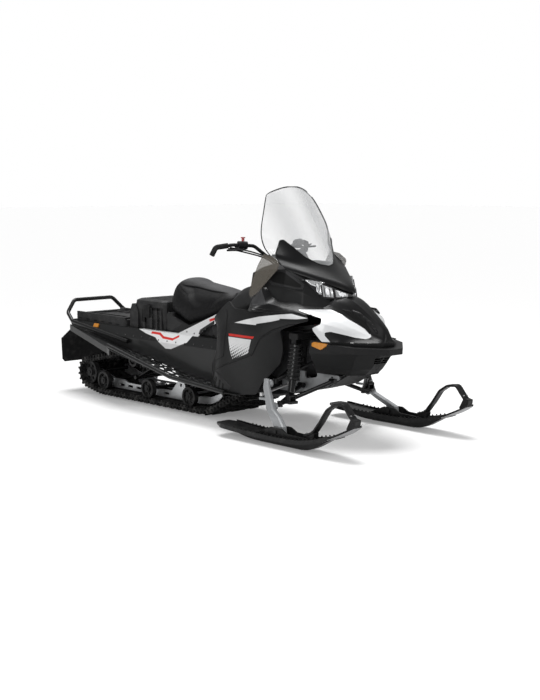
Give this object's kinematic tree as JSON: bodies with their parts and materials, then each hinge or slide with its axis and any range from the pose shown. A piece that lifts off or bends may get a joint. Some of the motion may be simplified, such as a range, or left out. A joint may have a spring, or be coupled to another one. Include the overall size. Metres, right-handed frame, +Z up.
{
  "type": "snowmobile",
  "caption": "Utility snowmobile with steered front skis, a driven rubber track, a saddle, a tall windshield, a cargo box and a rear rack.",
  "frame": {"origin": "on the ground, midway between the ski tips and the rear of the snow flap, on the middle plane", "axes": "+X forward, +Y to the rider's left, +Z up"},
  "size_m": [3.197, 1.144, 1.494],
  "materials": {
    "track_rubber": "matte black moulded rubber",
    "wheel_plastic": "black moulded wheels",
    "black_plastic": "matte black plastic",
    "body_plastic": "dark grey moulded body plastic with a satin grain",
    "body_gloss": "black satin-gloss body plastic",
    "rack_plastic": "charcoal plastic",
    "ski_plastic": "black ski plastic",
    "bright_steel": "zinc-plated steel",
    "rail_aluminium": "bare aluminium",
    "cast_silver": "bare cast and forged aluminium",
    "black_steel": "black powder coat",
    "tunnel_paint": "black satin paint",
    "flap_rubber": "black rubber",
    "red_lens": "red moulded plastic",
    "amber_lens": "amber moulded reflector",
    "seat_vinyl": "black grained vinyl cover",
    "white_paint": "white paint",
    "white_gloss": "gloss white body plastic",
    "lamp_lens": "clear lamp lens over a silver reflector",
    "clear_sheet": "clear polycarbonate sheet",
    "smoked_sheet": "smoked polycarbonate sheet",
    "engine_metal": "dark cast engine block"
  },
  "bodies": {
    "chassis": {"track": "track_rubber", "track_wheels": "wheel_plastic", "track_axles": "bright_steel", "slide_rails": "rail_aluminium", "rail_sliders": "black_plastic", "skid_arms": "black_steel", "skid_shocks": "black_steel", "tunnel": "tunnel_paint", "running_boards": "tunnel_paint", "rear_bumper": "black_steel", "snow_flap": "flap_rubber", "tail_bracket": "black_steel", "tail_lamp": "red_lens", "tow_hitch": "bright_steel", "cargo_rack": "rack_plastic", "cargo_box": "rack_plastic", "box_latches": "flap_rubber", "seat": "seat_vinyl", "seat_base": "black_plastic", "console": "body_plastic", "fuel_cap": "black_plastic", "side_braces": "white_paint", "side_panels": "body_plastic", "hood": "body_gloss", "hood_panels": "white_gloss", "headlamp_pod": "body_plastic", "headlamp": "lamp_lens", "windshield": "clear_sheet", "windshield_cowl": "body_gloss", "wind_deflectors": "smoked_sheet", "gauge": "black_plastic", "nose_fascia": "body_plastic", "nose_grille": "black_plastic", "front_bumper": "black_plastic", "belly_pan": "black_plastic", "front_frame": "cast_silver", "engine": "engine_metal", "lower_arms": "black_steel", "upper_arms": "black_steel", "front_shocks": "black_steel", "steering_post": "black_steel", "side_markers": "amber_lens"},
    "cargo_lid": {"cargo_lid": "rack_plastic"},
    "steering": {"handlebar": "black_steel", "grips": "flap_rubber", "steering_riser": "black_steel", "bar_controls": "black_plastic", "stop_switch": "red_lens"},
    "ski_right": {"ski_leg_right": "cast_silver", "ski_right": "ski_plastic", "ski_runner_right": "bright_steel", "ski_loop_right": "ski_plastic"},
    "ski_left": {"ski_leg_left": "cast_silver", "ski_left": "ski_plastic", "ski_runner_left": "bright_steel", "ski_loop_left": "ski_plastic"},
    "tie_rods": {"tie_rods": "bright_steel"}
  },
  "joints": [
    {"name": "handlebar_steer", "type": "hinge", "parent": "chassis", "child": "steering", "pos_m": [0.438, 0, 1.048], "axis": [-0.4198, 0, 0.9076], "range_deg": [-30, 30]},
    {"name": "ski_right_steer", "type": "hinge", "parent": "chassis", "child": "ski_right", "pos_m": [0.845, -0.405, 0.205], "axis": [-0.2814, 0, 0.9596], "range_deg": [-24, 24]},
    {"name": "ski_left_steer", "type": "hinge", "parent": "chassis", "child": "ski_left", "pos_m": [0.845, 0.405, 0.205], "axis": [-0.2814, 0, 0.9596], "range_deg": [-24, 24]},
    {"name": "tie_rod_shift", "type": "slide", "parent": "chassis", "child": "tie_rods", "axis": [0, 1, 0], "range_m": [-0.037, 0.037]},
    {"name": "cargo_lid_hinge", "type": "hinge", "parent": "chassis", "child": "cargo_lid", "pos_m": [-0.802, 0, 0.702], "axis": [0, -1, 0], "range_deg": [0, 95]}
  ],
  "couplings": [
    {"joint": "ski_right_steer", "follows": "handlebar_steer", "ratio": 0.8},
    {"joint": "ski_left_steer", "follows": "handlebar_steer", "ratio": 0.8},
    {"joint": "tie_rod_shift", "follows": "handlebar_steer", "m_per_rad": -0.069}
  ]
}
